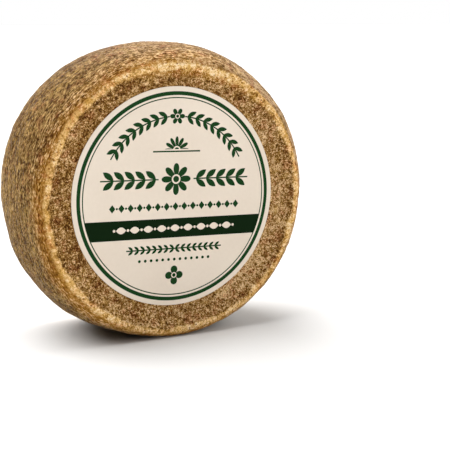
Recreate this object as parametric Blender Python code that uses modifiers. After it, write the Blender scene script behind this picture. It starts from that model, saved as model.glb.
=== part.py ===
"""A whole blue goat cheese, standing on its edge, with a round paper label on its front face.

Metres, +Z up. The label faces -Y. The wheel rests on the small flat spot that its own weight presses
into the edge, and the origin is the middle of its footprint on the surface it stands on.

The cheese is drawn lying flat, as it is moulded: the labelled face up, +Y of the drawing towards the
side that ends on top. It is then stood on its edge.
"""
import math

import bpy
from mathutils import Matrix, Vector, noise

# Driving dimensions
WHEEL_RADIUS = 0.1005         # mean radius at the fullest part of the wall
WHEEL_THICKNESS = 0.080       # over both rims
RIM_RADIUS = 0.0891           # crest of the raised rim that runs round each face
FACE_SINK = 0.0025            # how far each face lies below the crest of its rim
FACE_RADIUS = 0.0765          # where the flat of the face ends and the rim starts to rise
WALL_BULGE_POWER = 2.2        # how round the wall is, seen across its thickness
WALL_SHOULDER_POWER = 2.2     # how full the shoulders are, where the wall turns into the rim

# How the real wheel departs from a true turned one. It is out of round in a few long waves. For each
# number of waves in one turn, they give the share of the radius by which the waves stand out: that of
# the waves with a crest on the right, and that of the waves that start to rise there. The first are
# those of the whole wheel, which is wider than tall, and the others those of the wall alone, which fade
# towards the rims.
WHEEL_WAVES = {2: (0.0130, 0.0028)}
WALL_WAVES = {4: (-0.0210, 0.0015), 5: (0.0018, 0.0082)}
RIM_SHIFT = Vector((-0.0007, -0.0038))   # both rims sit this far off the wall's centre, across and up
LUMP_HEIGHT = 0.0009          # swing of the broad hand-made lumps of the rind
LUMP_SIZE = 0.030             # distance from one lump to the next
LUMP_START = 0.0770           # radius where the lumps begin, so that the face stays flat
LUMP_FULL = 0.0880            # radius from where they have their full height
AXIS_HEIGHT = 0.0965          # of the wheel's axis over its foot, which its weight has pressed flat
FOOT_SPREAD = 0.0009          # what comes this near to the surface below has spread onto it

# The paper label
LABEL_RADIUS = 0.0723
LABEL_THICKNESS = 0.0004
LABEL_GAP = 0.0003            # clearance between the paper and the rind
LABEL_CENTRE = Vector((-0.0015, -0.0023))   # from the wheel's axis, across and up

# Fineness of the faceted surface
WHEEL_SEGMENTS = 108
LABEL_SEGMENTS = 128
FACE_RINGS = 3
RIM_RINGS = 5
WALL_RINGS = 11               # from the crest of a rim to the middle of the wall

RIND_COLOUR = (0.270, 0.147, 0.051)
PAPER_COLOUR = (0.807, 0.708, 0.597)


def smooth_step(start, full, value):
    """0 before start, 1 from full on, and a smooth rise between them."""
    share = min(max((value - start) / (full - start), 0.0), 1.0)
    return share * share * (3.0 - 2.0 * share)


def upper_outline():
    """The wheel's half section, as (radius, height), from the middle of the face to the wall's middle."""
    crest = WHEEL_THICKNESS / 2
    face = crest - FACE_SINK
    outline = [(FACE_RADIUS * ring / FACE_RINGS, face) for ring in range(FACE_RINGS + 1)]
    for ring in range(1, RIM_RINGS + 1):
        radius = FACE_RADIUS + (RIM_RADIUS - FACE_RADIUS) * ring / RIM_RINGS
        outline.append((radius, face + FACE_SINK * smooth_step(FACE_RADIUS, RIM_RADIUS, radius)))
    bulge = WHEEL_RADIUS - RIM_RADIUS
    for ring in range(1, WALL_RINGS + 1):
        turn = math.pi / 2 * (1 - ring / WALL_RINGS)
        radius = RIM_RADIUS + bulge * math.cos(turn) ** (2 / WALL_BULGE_POWER)
        outline.append((radius, crest * math.sin(turn) ** (2 / WALL_SHOULDER_POWER)))
    return outline


def wheel_profile():
    """The whole section, down its outer side: the upper half and its mirror image."""
    upper = upper_outline()
    lower = [(radius, -height) for radius, height in reversed(upper[:-1])]
    return upper + lower


def turned_mesh(name, profile, segments):
    """The mesh that a profile of (radius, height) sweeps about the Z axis."""
    line = bpy.data.meshes.new(name)
    vertices = [(radius, 0.0, height) for radius, height in profile]
    line.from_pydata(vertices, [(i, i + 1) for i in range(len(vertices) - 1)], [])
    blank = bpy.data.objects.new(name + "_profile", line)
    bpy.context.scene.collection.objects.link(blank)
    screw = blank.modifiers.new("turn", "SCREW")
    screw.axis = "Z"
    screw.angle = 2 * math.pi
    screw.steps = segments
    screw.render_steps = segments
    screw.use_merge_vertices = True
    screw.merge_threshold = 0.00001
    evaluated = blank.evaluated_get(bpy.context.evaluated_depsgraph_get())
    mesh = bpy.data.meshes.new_from_object(evaluated)
    mesh.name = name
    bpy.data.objects.remove(blank)
    bpy.data.meshes.remove(line)
    return mesh


def height_of(waves, angle):
    """How far a set of waves stands out at an angle round the wheel, as a share of the radius."""
    return sum(
        crest * math.cos(count * angle) + rise * math.sin(count * angle)
        for count, (crest, rise) in waves.items()
    )


def out_of_round(point):
    """Where a point of the true turned wheel lies once it is out of round and its rims are off centre."""
    angle = math.atan2(point.y, point.x)
    towards_rim = min((2 * point.z / WHEEL_THICKNESS) ** 2, 1.0)
    stretch = 1 + height_of(WHEEL_WAVES, angle) + height_of(WALL_WAVES, angle) * (1 - towards_rim)
    shift = RIM_SHIFT * towards_rim
    return Vector((point.x * stretch + shift.x, point.y * stretch + shift.y, point.z))


def lump(point, normal):
    """The broad lump of the rind at a point, as an offset along the surface's normal."""
    radius = math.hypot(point.x, point.y)
    height = LUMP_HEIGHT * noise.noise(point / LUMP_SIZE)
    return normal * height * smooth_step(LUMP_START, LUMP_FULL, radius)


def pressed_flat(point):
    """A point that would sink into the surface below the wheel, or all but touches it, is put on it."""
    if point.y < FOOT_SPREAD - AXIS_HEIGHT:
        return Vector((point.x, -AXIS_HEIGHT, point.z))
    return point


def make_uneven(mesh):
    """Gives a true turned wheel the unevenness of a hand-made one, and its flat foot."""
    normals = [vertex.normal.copy() for vertex in mesh.vertices]
    for vertex, normal in zip(mesh.vertices, normals):
        vertex.co = pressed_flat(out_of_round(vertex.co) + lump(vertex.co, normal))
    mesh.update()


def stand_on_edge(mesh):
    """Turns the lying wheel so that its face looks along -Y and its foot is at height 0."""
    upright = Matrix.Rotation(math.radians(90), 4, "X")
    mesh.transform(Matrix.Translation((0, 0, AXIS_HEIGHT)) @ upright)


def footprint_centre(mesh):
    """The middle of the mesh's extent in X and Y."""
    across = [vertex.co.x for vertex in mesh.vertices]
    deep = [vertex.co.y for vertex in mesh.vertices]
    return Vector(((min(across) + max(across)) / 2, (min(deep) + max(deep)) / 2, 0.0))


def material(name, colour, roughness):
    """A plain non-metal finish."""
    finish = bpy.data.materials.new(name)
    finish.use_nodes = True
    shader = finish.node_tree.nodes["Principled BSDF"]
    shader.inputs["Base Color"].default_value = (*colour, 1.0)
    shader.inputs["Roughness"].default_value = roughness
    shader.inputs["Metallic"].default_value = 0.0
    return finish


def make_wheel(collection):
    """The cheese itself: one solid, with its rind."""
    mesh = turned_mesh("cheese_wheel", wheel_profile(), WHEEL_SEGMENTS)
    make_uneven(mesh)
    stand_on_edge(mesh)
    centre = footprint_centre(mesh)
    mesh.transform(Matrix.Translation(-centre))
    mesh.shade_smooth()
    mesh.materials.append(material("rind", RIND_COLOUR, 0.85))
    wheel = bpy.data.objects.new("cheese_wheel", mesh)
    collection.objects.link(wheel)
    return centre


def make_label(collection, wheel_centre):
    """The paper disc on the sunken front face, a little off its centre, as it was laid on by hand."""
    back_of_paper = -(WHEEL_THICKNESS / 2 - FACE_SINK) - LABEL_GAP
    bpy.ops.mesh.primitive_cylinder_add(
        vertices=LABEL_SEGMENTS,
        radius=LABEL_RADIUS,
        depth=LABEL_THICKNESS,
        location=(
            LABEL_CENTRE.x - wheel_centre.x,
            back_of_paper - LABEL_THICKNESS / 2 - wheel_centre.y,
            LABEL_CENTRE.y + AXIS_HEIGHT,
        ),
        rotation=(math.radians(90), 0, 0),
    )
    label = bpy.context.object
    label.name = "label"
    label.data.name = "label"
    label.data.shade_smooth()
    label.data.set_sharp_from_angle(angle=math.radians(30))
    label.data.materials.append(material("paper", PAPER_COLOUR, 0.6))
    for other in label.users_collection:
        other.objects.unlink(label)
    collection.objects.link(label)


def build():
    """Clears the scene and makes the two pieces."""
    for old in list(bpy.data.objects):
        bpy.data.objects.remove(old)
    collection = bpy.data.collections.new("blue_goat_cheese")
    bpy.context.scene.collection.children.link(collection)
    wheel_centre = make_wheel(collection)
    make_label(collection, wheel_centre)


build()
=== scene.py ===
"""A whole blue goat cheese standing on its edge, with a round paper label on its front face."""
import math

import bpy
import numpy as np
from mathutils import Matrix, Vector, noise


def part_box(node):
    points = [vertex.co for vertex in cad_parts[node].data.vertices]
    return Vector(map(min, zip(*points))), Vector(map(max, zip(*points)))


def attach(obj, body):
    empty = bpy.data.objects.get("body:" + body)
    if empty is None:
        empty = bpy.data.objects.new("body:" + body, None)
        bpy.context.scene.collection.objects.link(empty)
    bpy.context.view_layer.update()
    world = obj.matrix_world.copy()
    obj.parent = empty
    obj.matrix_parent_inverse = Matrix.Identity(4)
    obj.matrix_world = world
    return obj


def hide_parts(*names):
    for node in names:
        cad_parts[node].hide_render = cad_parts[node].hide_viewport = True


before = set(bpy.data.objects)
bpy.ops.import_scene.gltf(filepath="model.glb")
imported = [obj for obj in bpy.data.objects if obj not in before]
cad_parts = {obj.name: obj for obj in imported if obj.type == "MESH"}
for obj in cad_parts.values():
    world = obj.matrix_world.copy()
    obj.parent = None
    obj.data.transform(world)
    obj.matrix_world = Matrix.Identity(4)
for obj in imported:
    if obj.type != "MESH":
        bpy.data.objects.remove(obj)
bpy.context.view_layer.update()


# The camera stands a little to the left of the wheel and above it, about four wheel widths away, with a
# short telephoto lens. It looks past the wheel's right side, which leaves the wheel on the picture's left.
CAMERA_PLACE = (-0.3167, -0.6915, 0.2091)
CAMERA_TURN = math.radians(-28.29)
CAMERA_DIP = math.radians(10.43)

lens = bpy.data.cameras.new("camera")
lens.lens = 89.6
lens.sensor_width = 36.0
lens.clip_start = 0.01
camera = bpy.data.objects.new("camera", lens)
camera.location = CAMERA_PLACE
camera.rotation_euler = (math.pi / 2 - CAMERA_DIP, 0.0, CAMERA_TURN)
bpy.context.scene.collection.objects.link(camera)
bpy.context.scene.camera = camera


# A white studio: a wide pale table that runs out of sight, in a white room. Most of the light is soft and
# comes from overhead and behind, so that the wheel shades the table on its near side and to its left. The
# rest comes from low on the right and from behind, with a little from the front.
TABLE_WIDTH = 60.0             # so wide that it ends far out of sight
bpy.ops.mesh.primitive_plane_add(size=TABLE_WIDTH)
table = bpy.context.object
table.name = "table"
table_white = bpy.data.materials.new("table_white")
table_white.use_nodes = True
table_shader = table_white.node_tree.nodes["Principled BSDF"]
table_shader.inputs["Base Color"].default_value = (0.63, 0.63, 0.63, 1.0)
table_shader.inputs["Roughness"].default_value = 0.9
table_shader.inputs["Specular IOR Level"].default_value = 0.0
table.data.materials.append(table_white)

ROOM_LIGHT = 0.03              # of the walls behind the camera; the one that the camera sees is plain white
room = bpy.data.worlds.new("room")
room.use_nodes = True
room_light = room.node_tree.nodes["Background"]
room_light.inputs["Color"].default_value = (1.0, 1.0, 1.0, 1.0)
seen_wall = room.node_tree.nodes.new("ShaderNodeLightPath")
wall_light = room.node_tree.nodes.new("ShaderNodeMapRange")
wall_light.inputs["To Min"].default_value = ROOM_LIGHT
room.node_tree.links.new(seen_wall.outputs["Is Camera Ray"], wall_light.inputs["Value"])
room.node_tree.links.new(wall_light.outputs["Result"], room_light.inputs["Strength"])
bpy.context.scene.world = room
bpy.context.scene.view_settings.view_transform = "Standard"


def studio_light(name, place, angle, strength, colour):
    """Soft light that comes from a direction, out of a part of the ceiling so many degrees across."""
    lamp = bpy.data.lights.new(name, "SUN")
    lamp.angle = math.radians(angle)
    lamp.energy = strength
    lamp.color = colour
    stand = bpy.data.objects.new(name, lamp)
    stand.location = place
    stand.rotation_euler = Vector(place).to_track_quat("Z", "Y").to_euler()
    bpy.context.scene.collection.objects.link(stand)


studio_light("overhead_light", (-0.27, 0.36, 0.90), 72, 5.7, (1.0, 0.99, 0.98))
studio_light("right_light", (0.84, 0.08, 0.54), 50, 2.0, (1.0, 0.99, 0.97))
studio_light("back_light", (-0.11, 0.85, 0.52), 50, 1.4, (1.0, 1.0, 1.0))
studio_light("front_light", (0.55, -0.70, 0.45), 50, 1.0, (1.0, 0.99, 0.97))


# The cheese: one moulded wheel whose natural rind has dried brown while it ripened. The rind is a close
# crust of small grains and worm-like wrinkles, pierced by pin holes. It has rubbed pale and golden along
# the two rims, where the wheel was turned and stacked. Its colour also holds painted light: it is paler
# towards the top and the right and on the rims to the upper right and upper left, with painted shade on
# the upper left of the wall.
RIND_STEP = 0.00116            # fineness of the rind's mesh
EVENING = 8                    # rounds of smoothing that take the solid's facets away
BROAD_SIZE, BROAD_HEIGHT = 0.0090, 0.00028
WRINKLE_SIZE, WRINKLE_HEIGHT = 0.0036, 0.00034
LIP_WIDTH, LIP_HEIGHT = 0.0026, 0.00035      # the narrow lip along the crest of each rim
LIP_LUMP_SIZE, LIP_LUMPS = 0.0120, 0.0006
WALL_GIRTH = 0.0965            # radius at which a turn about the axis is measured along the wall
GRAIN_STRETCH = 3.3            # how much longer the wall's grains are than those of the faces
STREAK_STRETCH = 6.0           # and how much longer the streaks are that run among them
WALL_FINENESS = 1.55           # how much narrower both are
LABEL_MARGIN = 0.003           # width round the label over which the relief sets in
FOOT_FADE = 0.004              # height above the table over which it comes to its full height
FOOT_RELIEF = 0.25             # share of it that is left at the table
WRINKLE_SHIFT, LIP_LUMP_SHIFT = 0.5, 0.9     # where their noises are read, so that none repeats another
CREST_SECTOR = 5.0             # degrees; in each such part of a rim, its foremost points mark the crest
CREST_POINTS = 2               # so many of them
FACE_END = 0.08                # radius beyond which only the rim and the wall lie
MM = 1000                      # millimetres in a metre


def fine_copy(node, name, step, rounds):
    """A finely meshed copy of a solid, with its facets smoothed away."""
    blank = bpy.data.objects.new(name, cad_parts[node].data.copy())
    bpy.context.scene.collection.objects.link(blank)
    remesh = blank.modifiers.new("fine", "REMESH")
    remesh.mode = "VOXEL"
    remesh.voxel_size = step
    even = blank.modifiers.new("even", "SMOOTH")
    even.factor = 0.5
    even.iterations = rounds
    mesh = bpy.data.meshes.new_from_object(blank.evaluated_get(bpy.context.evaluated_depsgraph_get()))
    bpy.data.objects.remove(blank)
    mesh.materials.clear()
    piece = bpy.data.objects.new(name, mesh)
    bpy.context.scene.collection.objects.link(piece)
    return piece


def points_of(mesh):
    """A mesh's vertices as rows of x, y, z."""
    flat = np.empty(len(mesh.vertices) * 3)
    mesh.vertices.foreach_get("co", flat)
    return flat.reshape(-1, 3)


def normals_of(mesh):
    """The directions that a mesh's vertices face."""
    flat = np.empty(len(mesh.vertices) * 3)
    mesh.vertices.foreach_get("normal", flat)
    return flat.reshape(-1, 3)


def noise_at(points, size):
    """Smooth chance values, from about -1 to 1, whose swellings are about size apart."""
    weight, lacunarity, octaves = 0.9, 2.1, 2
    return np.array([noise.fractal(Vector(p) / size, weight, lacunarity, octaves) for p in points])


def share_between(low, high, values):
    """0 at low, 1 at high, with a smooth rise."""
    share = np.clip((values - low) / (high - low), 0.0, 1.0)
    return share * share * (3.0 - 2.0 * share)


label_low, label_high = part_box("label")
label_middle = (label_low + label_high) / 2
label_radius = (label_high.x - label_low.x) / 2
wheel_low, wheel_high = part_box("cheese_wheel")
wheel_middle = (wheel_low + wheel_high) / 2


def round_terms(angle):
    """The terms of a closed curve that is round but for a shift and a slight stretch."""
    terms = [np.ones_like(angle)]
    for waves in (1, 2):
        terms.extend((np.cos(waves * angle), np.sin(waves * angle)))
    return np.stack(terms, 1)


def about_middle(points):
    """Each point's angle about the wheel's middle, seen from the front, and its distance from there."""
    right = points[:, 0] - wheel_middle.x
    up = points[:, 2] - wheel_middle.z
    return np.arctan2(up, right), np.hypot(up, right)


def rim_crest(side):
    """The crest of one rim: its radius about the wheel's middle for each degree round, and its y."""
    solid = points_of(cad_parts["cheese_wheel"].data)
    angle, radius = about_middle(solid)
    sectors = np.floor(np.degrees(angle) / CREST_SECTOR)
    foremost = []
    for sector in np.unique(sectors):
        near = np.flatnonzero((sectors == sector) & (radius > FACE_END))
        foremost.extend(near[np.argsort(solid[near, 1] * side)[-CREST_POINTS:]])
    round_the_rim = round_terms(np.radians(np.arange(360.0)))
    terms = round_terms(angle[foremost])
    crest_radius = round_the_rim @ np.linalg.lstsq(terms, radius[foremost], rcond=None)[0]
    crest_y = round_the_rim @ np.linalg.lstsq(terms, solid[foremost, 1], rcond=None)[0]
    return crest_radius, crest_y


def off_the_crest(points):
    """How far each point lies from the crest of the rim on its own side: more than 0 towards the wall."""
    angle, radius = about_middle(points)
    turn = np.round(np.degrees(angle) % 360).astype(int) % 360
    distance = np.ones(len(points))      # a point right between the rims counts as far from both
    for side in (-1, 1):
        crest_radius, crest_y = rim_crest(side)
        near = points[:, 1] * side > 0
        outwards = np.where(radius > crest_radius[turn], 1.0, -1.0)
        gap = outwards * np.hypot(radius - crest_radius[turn], points[:, 1] - crest_y[turn])
        distance[near] = gap[near]
    return distance


rind = fine_copy("cheese_wheel", "rind", RIND_STEP, EVENING)
rind_points = points_of(rind.data)
rind_normals = normals_of(rind.data)

from_label = np.hypot(rind_points[:, 0] - label_middle.x, rind_points[:, 2] - label_middle.z)
in_front = rind_points[:, 1] < 0
under_label = in_front * (1 - share_between(label_radius, label_radius + LABEL_MARGIN, from_label))
above_table = share_between(0.0, FOOT_FADE, rind_points[:, 2])
broad = noise_at(rind_points, BROAD_SIZE)
wrinkle = 1 - 2 * np.abs(noise_at(rind_points + WRINKLE_SHIFT, WRINKLE_SIZE))
on_lip = np.exp(-(off_the_crest(rind_points) / LIP_WIDTH) ** 2)
relief = BROAD_HEIGHT * broad + WRINKLE_HEIGHT * (wrinkle - 0.5)
lip_lump = noise_at(rind_points + LIP_LUMP_SHIFT, LIP_LUMP_SIZE)
relief = relief + on_lip * (LIP_HEIGHT + LIP_LUMPS * lip_lump)
relief = relief * (1 - under_label) * (FOOT_RELIEF + (1 - FOOT_RELIEF) * above_table)
rind_points = rind_points + rind_normals * relief[:, None]
rind_points[:, 2] = np.maximum(rind_points[:, 2], 0.0)
rind.data.vertices.foreach_set("co", rind_points.ravel())
rind.data.update()
rind.data.shade_smooth()

crest_distance = rind.data.attributes.new("crest_distance", "FLOAT", "POINT")
crest_distance.data.foreach_set("value", off_the_crest(rind_points) * MM)
wrinkle_height = rind.data.attributes.new("wrinkle_height", "FLOAT", "POINT")
wrinkle_height.data.foreach_set("value", wrinkle)


class Flow:
    """A socket of a material's node tree. Arithmetic on it adds Math nodes to that tree."""

    def __init__(self, tree, socket=None):
        self.tree = tree
        self.socket = socket

    def node(self, kind, settings, sockets, output=0):
        """A node of any kind: its settings are set first, then its sockets get their values or links."""
        made = self.tree.nodes.new("ShaderNode" + kind)
        for name, value in settings.items():
            if name == "stops":
                while len(made.color_ramp.elements) < len(value):
                    made.color_ramp.elements.new(0.5)
                for element, (place, colour) in zip(made.color_ramp.elements, value):
                    element.position = place
                    element.color = colour
            else:
                setattr(made, name, value)
        for name, value in sockets.items():
            if isinstance(value, Flow):
                self.tree.links.new(value.socket, made.inputs[name])
            else:
                made.inputs[name].default_value = value
        return Flow(self.tree, made.outputs[output])

    def other(self, output):
        """Another output of the node that this one comes from."""
        return Flow(self.tree, self.socket.node.outputs[output])

    def maths(self, operation, *values):
        """A Math node of one operation on these values."""
        return self.node("Math", {"operation": operation}, dict(enumerate(values)))

    def __add__(self, other):
        return self.maths("ADD", self, other)

    def __radd__(self, other):
        return self.maths("ADD", other, self)

    def __sub__(self, other):
        return self.maths("SUBTRACT", self, other)

    def __rsub__(self, other):
        return self.maths("SUBTRACT", other, self)

    def __mul__(self, other):
        return self.maths("MULTIPLY", self, other)

    def __rmul__(self, other):
        return self.maths("MULTIPLY", other, self)

    def __truediv__(self, other):
        return self.maths("DIVIDE", self, other)

    def __pow__(self, other):
        return self.maths("POWER", self, other)

    def __lt__(self, other):
        return self.maths("LESS_THAN", self, other)

    def __gt__(self, other):
        return self.maths("GREATER_THAN", self, other)

    def __abs__(self):
        return self.maths("ABSOLUTE", self)

    def rise(self, low, high):
        """0 at low, 1 at high, with a smooth rise between them."""
        ends = {"Value": self, "From Min": low, "From Max": high}
        return self.node("MapRange", {"interpolation_type": "SMOOTHSTEP"}, ends)

    def blend(self, colour, share, mode="MIX"):
        """This colour with another one laid over it, by a share from 0 to 1."""
        settings = {"data_type": "RGBA", "blend_type": mode}
        return self.node("Mix", settings, {0: share, 6: self, 7: colour}, output=2)


def paint(sheet):
    """A paint colour from its sheet of six hexadecimal digits, as Blender wants it."""
    parts = [int(sheet[i:i + 2], 16) / 255 for i in (0, 2, 4)]
    return (*[part / 12.92 if part <= 0.04045 else ((part + 0.055) / 1.055) ** 2.4 for part in parts], 1.0)


def either(first, second):
    """Where one mask or the other is."""
    return first.maths("MAXIMUM", first, second)


def new_finish(name):
    """An empty material, the flow of its tree and its shader node."""
    finish = bpy.data.materials.new(name)
    finish.use_nodes = True
    return finish, Flow(finish.node_tree), finish.node_tree.nodes["Principled BSDF"]


def ramp(flow, share, stops):
    """Paint colours that follow one another as a value rises from 0 to 1."""
    colours = [(place, paint(sheet)) for place, sheet in stops]
    return flow.node("ValToRGB", {"stops": colours}, {"Fac": share})


def grainy(flow, place, per_metre, detail, distortion=0.0):
    """Chance values about 0.5, in swellings of which so many lie in a metre."""
    sockets = {"Vector": place, "Scale": per_metre, "Detail": detail, "Distortion": distortion}
    return flow.node("TexNoise", {}, sockets)


def rind_finish():
    """Brown, grained and matte: dark hollows, tan grains, streaks round the wall, pin holes, golden rims,
    painted light.
    """
    finish, flow, shader = new_finish("natural_rind")
    place = flow.node("TexCoord", {}, {}, output="Object")
    crest = flow.node("Attribute", {"attribute_name": "crest_distance"}, {}, output="Fac")
    wrinkles = flow.node("Attribute", {"attribute_name": "wrinkle_height"}, {}, output="Fac")

    # Where a place is, from the wheel's middle: how far behind, to the right, above and round the axis. The
    # last two places are measured along the wall, so that chance patterns come out drawn out along it.
    x = flow.node("SeparateXYZ", {}, {"Vector": place}, output="X")
    depth = x.other("Y") - wheel_middle.y
    off_axis = x - wheel_middle.x
    over_axis = x.other("Z") - wheel_middle.z
    turn = flow.maths("ARCTAN2", off_axis, over_axis)
    radius = flow.maths("SQRT", off_axis * off_axis + over_axis * over_axis)
    across = {"Y": depth * WALL_FINENESS, "Z": radius * WALL_FINENESS}
    grain_way = turn * (WALL_GIRTH / GRAIN_STRETCH)
    streak_way = turn * (WALL_GIRTH / STREAK_STRETCH)
    brushed = flow.node("CombineXYZ", {}, {"X": grain_way, **across}, output="Vector")
    combed = flow.node("CombineXYZ", {}, {"X": streak_way, **across}, output="Vector")

    # The parts of the wheel that differ in tone. Each goes from 0 to 1 between two places in millimetres.
    from_middle = abs(depth) * MM
    on_wall = 1 - from_middle.rise(26.0, 38.0)
    middle = 1 - from_middle.rise(0.0, 34.0)
    streaked = crest.rise(0.5, 5.0)
    # topmost, upper_right, upper_left, lowest and right mostly place painted light and shade.
    topmost = ((over_axis + off_axis * 0.2) * MM).rise(60.0, 97.0)
    upper_right = ((over_axis + off_axis * 0.4) * MM).rise(50.0, 100.0)
    upper_left = ((over_axis - off_axis) * MM).rise(98.0, 132.0)
    lowest = (over_axis * -MM).rise(30.0, 85.0)
    right = (off_axis * MM).rise(0.0, 60.0)
    left = (off_axis * -MM).rise(40.0, 85.0)
    # Where painted highlight is laid on the wall beside the right rim.
    right_rim_highlight = right * (1 - crest.rise(6.0, 20.0))

    # Chance patterns, from fine grains to broad clouds. On the wall the grains are drawn out.
    face_grain = grainy(flow, place, 700.0, 2.0, 0.25)
    face_fleck = grainy(flow, place, 1600.0, 1.0)
    wall_grain = grainy(flow, brushed, 700.0, 2.0, 0.25)
    wall_fleck = grainy(flow, brushed, 1600.0, 1.0)
    grain = face_grain + (wall_grain - face_grain) * streaked
    fleck = face_fleck + (wall_fleck - face_fleck) * streaked
    clump = grainy(flow, place, 230.0, 1.0, 0.8)
    cloud = grainy(flow, place, 62.0, 2.0)
    hue = grainy(flow, place, 165.0, 3.0)
    shade = grainy(flow, brushed, 60.0, 2.0)
    streak = grainy(flow, combed, 620.0, 1.0)

    # Where the rind is rubbed pale, in a band that wavers about the crest, and golden on both sides of it.
    # To the upper right and upper left the pale band is wider and lies further out, as painted highlight.
    wavering = crest + (clump - 0.5) * 3.0 + (cloud - 0.5) * 5.0 + upper_right * 1.3
    outer = either(wavering, 0.0)
    inner = either(0 - wavering, 0.0)
    rubbed_and_highlit = 1 - (abs(wavering) - upper_right * 0.9 - upper_left * 0.3).rise(0.9, 2.9)
    golden_width = 15.0 - upper_left * 7.0 - either(upper_right, right) * 11.0
    golden = 1 - (outer / golden_width + inner / (3.2 + topmost * 18.0)).rise(0.1, 1.0)

    # How light the rind is, from dark hollows to pale grains, and where painted light and shade lie.
    tone = 0.46 + (grain - 0.5) * 2.1 + (fleck - 0.5) * 2.3 + (clump - 0.5) * 0.8 + (cloud - 0.5) * 0.3
    tone = tone + (wrinkles - 0.4) * 0.12 + (shade - 0.5) * 0.4 + (fleck - 0.5) * on_wall * 1.5
    tone = tone + ((streak - 0.5) * 1.6 - (grain - 0.5) * 0.6) * on_wall
    # Painted light on the faces: lighter towards the right and the top, and also lighter towards the bottom.
    face_tone_and_painted_light = off_axis * 0.35 + topmost * 0.08 + lowest * 0.09 + (clump - 0.5) * 0.25 - 0.07
    # Painted shade: the middle of the wall is darker on the upper left.
    tone = tone + (1 - on_wall) * face_tone_and_painted_light + on_wall * 0.03 - middle * upper_left * 0.2
    lip_swing = (tone - 0.46) * 0.75 + (clump - 0.5) * 0.7 + (cloud - 0.5) * 0.45
    # Painted light on the lip: lighter to the upper right and upper left, darker on top.
    lip_tone_and_painted_light = 0.605 + lip_swing * (1 - left * 0.32) + upper_left * 0.13 + upper_right * 0.19 - topmost * 0.13

    # The colours: of the faces, lighter just inside the right rim as painted highlight; of the wall; of its
    # top and right edge, paler and greyer as painted light; beside the crest, lighter at the top and upper
    # right as painted light; and on it.
    # Painted highlight: the face is lighter just inside the right rim.
    crust = ramp(flow, tone + right * (0 - crest).rise(1.0, 8.0) * 0.15, (
        (0.00, "45270a"), (0.22, "714b1c"), (0.45, "926a36"), (0.70, "b38d5a"), (1.00, "e4c294"),
    ))
    aged = ramp(flow, tone, (
        (0.00, "341f08"), (0.22, "543713"), (0.45, "6b4e24"), (0.70, "876738"), (1.00, "ba9a62"),
    ))
    # Painted light: the wall's top and its right edge paler and greyer.
    painted_lit_wall = ramp(flow, tone + right_rim_highlight * 0.28, (
        (0.00, "4a3012"), (0.22, "694b25"), (0.45, "7f623f"), (0.70, "997b57"), (1.00, "c2a47f"),
    ))
    # Painted light: the golden band is lighter at the top and the upper right.
    ochre = ramp(flow, tone + either(topmost, upper_right) * 0.14, (
        (0.00, "673f10"), (0.25, "926120"), (0.50, "ad7a33"), (0.75, "c19250"), (1.00, "e8c28a"),
    ))
    lip = ramp(flow, lip_tone_and_painted_light, (
        (0.00, "7d521f"), (0.30, "b88a46"), (0.55, "d7a963"), (0.80, "efc88a"), (1.00, "fbe1b6"),
    ))
    outside = either(on_wall, crest.rise(0.5, 3.5) * right)
    crust = crust.blend(aged.blend(painted_lit_wall, either(topmost, right_rim_highlight)), outside)
    crust = crust.blend(ochre, golden * 0.85)
    crust = crust.blend(lip, rubbed_and_highlit * 0.95)

    # Faint patches of olive and of pink, and dark pin holes, which are more and wider in the pale band on the
    # rims.
    crust = crust.blend(paint("8f8c2c"), hue.rise(0.54, 0.66) * 0.40, "SOFT_LIGHT")
    crust = crust.blend(paint("8d4656"), (1 - hue.rise(0.34, 0.46)) * 0.40, "SOFT_LIGHT")
    cells = {"Vector": place, "Scale": 400.0, "Randomness": 1.0}
    hole_distance = flow.node("TexVoronoi", {}, cells, output="Distance")
    hole_chance = flow.node("SeparateColor", {}, {"Color": hole_distance.other("Color")}, output="Red")
    has_hole = hole_chance + rubbed_and_highlit * 0.25 > 0.72
    hole = (1 - (hole_distance - rubbed_and_highlit * 0.05).rise(0.10, 0.26)) * has_hole
    crust = crust.blend(paint("7a3e0c"), hole * 0.85)

    height = grain + fleck * 0.35 - hole * 0.3
    bump = flow.node("Bump", {}, {"Strength": 0.75, "Distance": 0.0006, "Height": height}, output="Normal")

    flow.tree.links.new(crust.socket, shader.inputs["Base Color"])
    flow.tree.links.new(bump.socket, shader.inputs["Normal"])
    shader.inputs["Roughness"].default_value = 0.8
    shader.inputs["Specular IOR Level"].default_value = 0.05
    shader.inputs["Sheen Weight"].default_value = 0.5
    shader.inputs["Sheen Roughness"].default_value = 0.08
    return finish


rind.data.materials.append(rind_finish())
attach(rind, "root")
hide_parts("cheese_wheel")


# The label: a disc of cream paper, printed in dark green and glued to the sunken face by hand, so it sits
# a little off centre and turned by two degrees. It lies in slight waves, its edge pressed onto the rind.
LABEL_ROLL = math.radians(-2.0)
LABEL_RINGS, LABEL_SPOKES = 40, 160
RING_CROWDING = 0.8            # below 1, so that the rings lie closer together towards the edge
PAPER_WAVE_SIZE, PAPER_WAVE_HEIGHT = 0.030, 0.00012
EDGE_PRESS = 0.00018           # how far the edge is pressed back
PRESS_START = 0.93             # share of the radius where that begins
SHARP_EDGE = math.radians(40)
LEAF_LEAN = math.radians(36)   # of the printed leaves, towards the tip of their stem
STEM_HALF_WIDTH = 0.45         # in millimetres, like the next
HAIRLINE_RADIUS = 65.0


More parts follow.
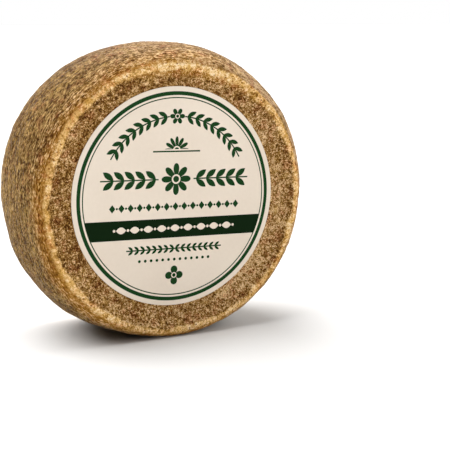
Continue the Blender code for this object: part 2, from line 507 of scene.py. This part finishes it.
def paper_disc():
    """The label's sheet: a fine disc, slightly wavy, whose edge is pressed back onto the rind."""
    rings = [(ring / LABEL_RINGS) ** RING_CROWDING for ring in range(1, LABEL_RINGS + 1)]
    vertices = []
    for y in (label_low.y, label_high.y):
        vertices.append((label_middle.x, y, label_middle.z))
        for radius in [label_radius * ring for ring in rings]:
            for spoke in range(LABEL_SPOKES):
                angle = 2 * math.pi * spoke / LABEL_SPOKES
                x = label_middle.x + radius * math.cos(angle)
                z = label_middle.z + radius * math.sin(angle)
                wave = PAPER_WAVE_HEIGHT * noise.noise(Vector((x, 0.0, z)) / PAPER_WAVE_SIZE)
                pressed = EDGE_PRESS * share_between(PRESS_START, 1.0, radius / label_radius)
                vertices.append((x, y + wave + pressed, z))
    per_side = 1 + LABEL_RINGS * LABEL_SPOKES
    faces = []
    for side in (0, 1):
        start = side * per_side
        for spoke in range(LABEL_SPOKES):
            after = (spoke + 1) % LABEL_SPOKES
            corner = (start, start + 1 + spoke, start + 1 + after)
            faces.append(corner if side == 0 else corner[::-1])
            for ring in range(LABEL_RINGS - 1):
                inner = start + 1 + ring * LABEL_SPOKES
                outer = inner + LABEL_SPOKES
                quad = (inner + spoke, outer + spoke, outer + after, inner + after)
                faces.append(quad if side == 0 else quad[::-1])
    edge = 1 + (LABEL_RINGS - 1) * LABEL_SPOKES
    for spoke in range(LABEL_SPOKES):
        after = (spoke + 1) % LABEL_SPOKES
        faces.append((edge + spoke, per_side + edge + spoke, per_side + edge + after, edge + after))
    mesh = bpy.data.meshes.new("paper_label")
    mesh.from_pydata(vertices, [], faces)
    mesh.shade_smooth()
    mesh.set_sharp_from_angle(angle=SHARP_EDGE)
    piece = bpy.data.objects.new("paper_label", mesh)
    bpy.context.scene.collection.objects.link(piece)
    return piece


def leaf(along, across, length, width):
    """A pointed leaf that lies along one direction, from its middle."""
    return (width / 2) * (1 - (along * (2 / length)) ** 2) > abs(across)


def in_row(along, pitch, count):
    """How far a place is from the nearest motif of a centred row, and where the row is."""
    if count % 2:
        nearest = along.maths("ROUND", along / pitch) * pitch
    else:
        nearest = (along.maths("FLOOR", along / pitch) + 0.5) * pitch
    return along - nearest, abs(along) < pitch * count / 2


def disc(across, up, radius):
    """A round dot."""
    return across * across + up * up < radius * radius


def paired_leaves(along, across, pitch, count, leaf_size, off_stem):
    """A stem with so many pairs of leaves, which lean towards its tip."""
    length, width = leaf_size
    from_middle = along - pitch * count / 2
    off, in_reach = in_row(from_middle, pitch, count)
    out = abs(across) - off_stem
    cosine, sine = math.cos(LEAF_LEAN), math.sin(LEAF_LEAN)
    blades = leaf(off * cosine + out * sine, out * cosine - off * sine, length, width) * in_reach
    stem = (abs(across) < STEM_HALF_WIDTH) * (abs(from_middle) < pitch * (count + 0.5) / 2)
    return either(blades, stem)


def flower(across, up, petals, radius):
    """A round flower with rounded petals about an eye."""
    notch, ring, eye = 0.28 * radius, 0.30 * radius, 0.20 * radius
    distance = across.maths("SQRT", across * across + up * up)
    angle = across.maths("ARCTAN2", up, across)
    lobe = abs(across.maths("COSINE", angle * (petals / 2))) ** 0.6
    petal = (lobe * (radius - notch) + notch > distance) * (distance > ring)
    return either(petal, distance < eye)


def label_finish():
    """Cream paper with a printed ring, a dark stripe, and plain leaf and flower ornaments in green."""
    finish, flow, shader = new_finish("printed_paper")
    place = flow.node("TexCoord", {}, {}, output="Object")
    x = flow.node("SeparateXYZ", {}, {"Vector": place}, output="X")
    right = (x - label_middle.x) * MM
    above = (x.other("Z") - label_middle.z) * MM
    across = right * math.cos(LABEL_ROLL) + above * math.sin(LABEL_ROLL)
    up = above * math.cos(LABEL_ROLL) - right * math.sin(LABEL_ROLL)
    side = abs(across)
    distance = flow.maths("SQRT", across * across + up * up)

    # The ring, the hairline and the stripe. All sizes on the print are in millimetres.
    ring = (distance > 66.6) * (distance < 69.1)
    hairline = abs(distance - HAIRLINE_RADIUS) < 0.37
    inside = distance < HAIRLINE_RADIUS
    from_stripe = up + 20.3
    stripe = (abs(from_stripe) < 6.4) * inside

    # The ornaments: the arched garland, flowers and sprays from the top down, and then the rows.
    arc = 53.0
    run = flow.maths("ARCTAN2", side, up) * arc
    prints = [
        paired_leaves(run - 7.0, distance - arc, 6.0, 8, (7.0, 2.8), 2.2),
        flower(across, up - 53.0, 6, 5.4),
        flower(across, up - 31.0, 12, 9.0) * (up > 31.6),
        (abs(up - 30.2) < 0.5) * (side < 17.0),
        flower(across, up - 12.0, 8, 10.5),
        paired_leaves(side - 14.5, up - 12.0, 7.4, 5, (9.0, 3.9), 3.1),
        paired_leaves(side, up + 34.0, 4.2, 8, (4.2, 1.7), 1.5),
        flower(across, up + 52.0, 4, 6.4),
    ]
    from_diamonds = up + 6.0
    diamond, diamond_row = in_row(across, 6.4, 15)
    prints.append((abs(diamond) / 2.2 + abs(from_diamonds) / 2.7 < 1.0) * diamond_row)
    bead, bead_row = in_row(across, 6.4, 14)
    prints.append(disc(bead, from_diamonds, 0.75) * bead_row)
    dot, dot_row = in_row(across, 4.2, 13)
    prints.append(disc(dot, up + 41.3, 1.0) * dot_row)
    print_green = prints[0]
    for motif in prints[1:]:
        print_green = either(print_green, motif)
    print_green = either(print_green * inside, either(ring, hairline))

    # Pointed ovals with dots between them, which stay bare in the stripe.
    oval, oval_row = in_row(across, 9.6, 9)
    spot, spot_row = in_row(across, 9.6, 10)
    reserved = either(leaf(oval, from_stripe, 7.0, 4.4) * oval_row, disc(spot, from_stripe, 0.9) * spot_row)

    fibre = grainy(flow, place, 420.0, 3.0)
    tint = grainy(flow, place, 22.0, 1.0)
    paper = ramp(flow, tint * 0.7 + fibre * 0.3, ((0.30, "e7d9c8"), (0.70, "efe2d2")))
    printed = paper.blend(paint("1a3e1d"), print_green)
    printed = printed.blend(paint("0d220c"), stripe * (1 - reserved))
    flow.tree.links.new(printed.socket, shader.inputs["Base Color"])
    bump = flow.node("Bump", {}, {"Strength": 0.2, "Distance": 0.0001, "Height": fibre}, output="Normal")
    flow.tree.links.new(bump.socket, shader.inputs["Normal"])
    shader.inputs["Roughness"].default_value = 0.8
    shader.inputs["Specular IOR Level"].default_value = 0.05
    return finish


paper_label = paper_disc()
paper_label.data.materials.append(label_finish())
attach(paper_label, "root")
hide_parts("label")
